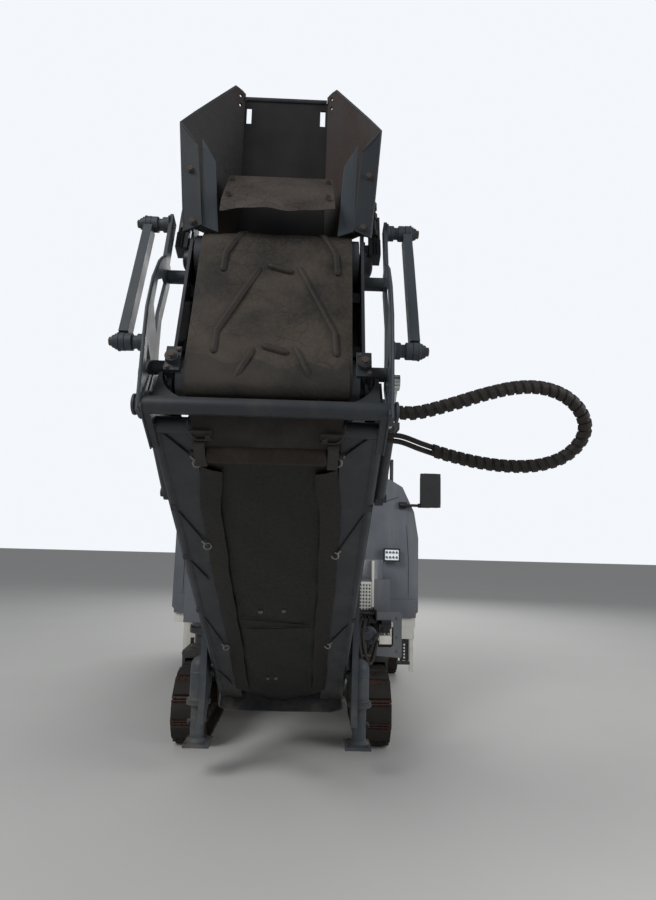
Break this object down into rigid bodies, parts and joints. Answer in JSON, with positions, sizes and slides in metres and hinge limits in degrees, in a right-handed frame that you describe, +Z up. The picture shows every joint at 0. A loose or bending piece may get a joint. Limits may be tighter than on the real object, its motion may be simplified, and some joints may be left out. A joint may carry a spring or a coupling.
{
  "type": "compact cold planer milling machine on four tracks with a folding discharge conveyor",
  "caption": "Compact cold planer on crawler tracks with a milling drum under its frame, an operator deck under a canopy, and a slewing, luffing discharge conveyor folded up.",
  "frame": {"origin": "on the ground, on the centre plane, under the middle of the front tracks", "axes": "+Z up, -Y towards the discharge conveyor, which is the machine's front, +X to the right as seen from the conveyor end"},
  "size_m": [2.655, 7.6412, 3.6201],
  "materials": {
    "cream_paint": "satin paint, dusty low down",
    "hood_paint": "satin grey paint",
    "conveyor_paint": "satin blue-grey paint, scuffed edges",
    "link_paint": "satin blue-grey paint",
    "dark_paint": "matt dark paint",
    "worn_steel": "bare worn steel with rust film",
    "hood_inside": "rust-brown worn paint",
    "rod_chrome": "polished rod",
    "cast_dark": "dark cast iron",
    "track_steel": "worn dark steel with dirt",
    "belt_rubber": "ribbed rubber with pale dirt",
    "black_rubber": "dirty black rubber",
    "seat_vinyl": "black vinyl",
    "black_plastic": "textured black plastic",
    "lamp_lens": "clear lamp lens"
  },
  "bodies": {
    "frame": {"chassis": "cream_paint", "drum_housing": "cream_paint", "engine_block": "cast_dark", "front_hood": "hood_paint", "platform": "dark_paint", "guard_rails": "dark_paint", "canopy": "dark_paint", "seat": "seat_vinyl", "console": "hood_paint", "work_lamps": "lamp_lens", "mirror": "black_plastic", "slew_bearing": "dark_paint", "primary_conveyor": "conveyor_paint", "rear_grille": "dark_paint"},
    "engine_cover": {"engine_hood": "hood_paint"},
    "scraper": {"scraper_door": "cream_paint"},
    "edge_plate_left": {"side_plate_left": "worn_steel"},
    "edge_plate_right": {"side_plate_right": "worn_steel"},
    "drum": {"milling_drum": "worn_steel"},
    "track_unit_front_left": {"yoke_front_left": "dark_paint", "running_gear_front_left": "cast_dark", "track_front_left": "track_steel"},
    "track_unit_front_right": {"yoke_front_right": "dark_paint", "running_gear_front_right": "cast_dark", "track_front_right": "track_steel"},
    "track_unit_rear_left": {"yoke_rear_left": "dark_paint", "running_gear_rear_left": "cast_dark", "track_rear_left": "track_steel"},
    "track_unit_rear_right": {"yoke_rear_right": "dark_paint", "running_gear_rear_right": "cast_dark", "track_rear_right": "track_steel"},
    "conveyor_hanger": {"slew_hanger": "link_paint"},
    "inner_section": {"inner_frame": "conveyor_paint", "pan_liner": "black_rubber", "inner_belt": "belt_rubber", "spiral_hose": "black_rubber"},
    "outer_section": {"outer_frame": "conveyor_paint", "outer_belt": "belt_rubber", "fold_plates": "link_paint", "discharge_hood": "hood_inside", "hood_flap": "black_rubber"},
    "fold_barrel_pair": {"fold_barrels": "conveyor_paint"},
    "fold_rod_pair": {"fold_rods": "rod_chrome"},
    "luff_barrel_pair": {"luff_barrels": "conveyor_paint"},
    "luff_rod_pair": {"luff_rods": "rod_chrome"}
  },
  "joints": [
    {"name": "steer_front_left", "type": "hinge", "parent": "frame", "child": "track_unit_front_left", "pos_m": [-0.69, 0, 0.9], "axis": [0, 0, 1], "range_deg": [-25, 25]},
    {"name": "steer_front_right", "type": "hinge", "parent": "frame", "child": "track_unit_front_right", "pos_m": [0.69, 0, 0.9], "axis": [0, 0, 1], "range_deg": [-25, 25]},
    {"name": "steer_rear_left", "type": "hinge", "parent": "frame", "child": "track_unit_rear_left", "pos_m": [-1.12, 2.7, 0.9], "axis": [0, 0, 1], "range_deg": [-10, 10]},
    {"name": "steer_rear_right", "type": "hinge", "parent": "frame", "child": "track_unit_rear_right", "pos_m": [1.12, 2.7, 0.9], "axis": [0, 0, 1], "range_deg": [-10, 10]},
    {"name": "drum_spin", "type": "hinge", "parent": "frame", "child": "drum", "pos_m": [0, 1.36, 0.474], "axis": [1, 0, 0], "continuous": true},
    {"name": "scraper_swing", "type": "hinge", "parent": "frame", "child": "scraper", "pos_m": [0, 1.894, 0.6], "axis": [1, 0, 0], "range_deg": [0, 60]},
    {"name": "edge_plate_left_lift", "type": "slide", "parent": "frame", "child": "edge_plate_left", "axis": [0, 0, 1], "range_m": [0, 0.2]},
    {"name": "edge_plate_right_lift", "type": "slide", "parent": "frame", "child": "edge_plate_right", "axis": [0, 0, 1], "range_m": [0, 0.2]},
    {"name": "engine_cover_lift", "type": "hinge", "parent": "frame", "child": "engine_cover", "pos_m": [0, 4.208, 1.326], "axis": [-1, 0, 0], "range_deg": [0, 50]},
    {"name": "conveyor_slew", "type": "hinge", "parent": "frame", "child": "conveyor_hanger", "pos_m": [0, -1.15, 1.3], "axis": [0, 0, 1], "range_deg": [-50, 50]},
    {"name": "conveyor_luff", "type": "hinge", "parent": "conveyor_hanger", "child": "inner_section", "pos_m": [0, -1.15, 0.67], "axis": [1, 0, 0], "range_deg": [0, 27.5]},
    {"name": "conveyor_fold", "type": "hinge", "parent": "inner_section", "child": "outer_section", "pos_m": [0, -3.27029, 2.02077], "axis": [1, 0, 0], "range_deg": [0, 75.5]},
    {"name": "fold_barrel_turn", "type": "hinge", "parent": "inner_section", "child": "fold_barrel_pair", "pos_m": [0, -2.61006, 1.7543], "axis": [1, 0, 0], "range_deg": [-1, 9.8]},
    {"name": "fold_rod_slide", "type": "slide", "parent": "fold_barrel_pair", "child": "fold_rod_pair", "axis": [0, -0.7853, 0.6191], "range_m": [-0.005, 0.2197]},
    {"name": "luff_barrel_turn", "type": "hinge", "parent": "conveyor_hanger", "child": "luff_barrel_pair", "pos_m": [0, -1.3, 1.114], "axis": [1, 0, 0], "range_deg": [-1, 34.43]},
    {"name": "luff_rod_slide", "type": "slide", "parent": "luff_barrel_pair", "child": "luff_rod_pair", "axis": [0, -0.8405, 0.5418], "range_m": [-0.005, 0.1883]}
  ],
  "couplings": [
    {"joint": "steer_front_right", "follows": "steer_front_left", "ratio": 1},
    {"joint": "steer_rear_right", "follows": "steer_rear_left", "ratio": 1},
    {"joint": "fold_barrel_turn", "follows": "conveyor_fold", "ratio": 0.1166},
    {"joint": "fold_rod_slide", "follows": "conveyor_fold", "m_per_rad": 0.1629},
    {"joint": "luff_barrel_turn", "follows": "conveyor_luff", "ratio": 1.2158},
    {"joint": "luff_rod_slide", "follows": "conveyor_luff", "m_per_rad": 0.3819}
  ]
}
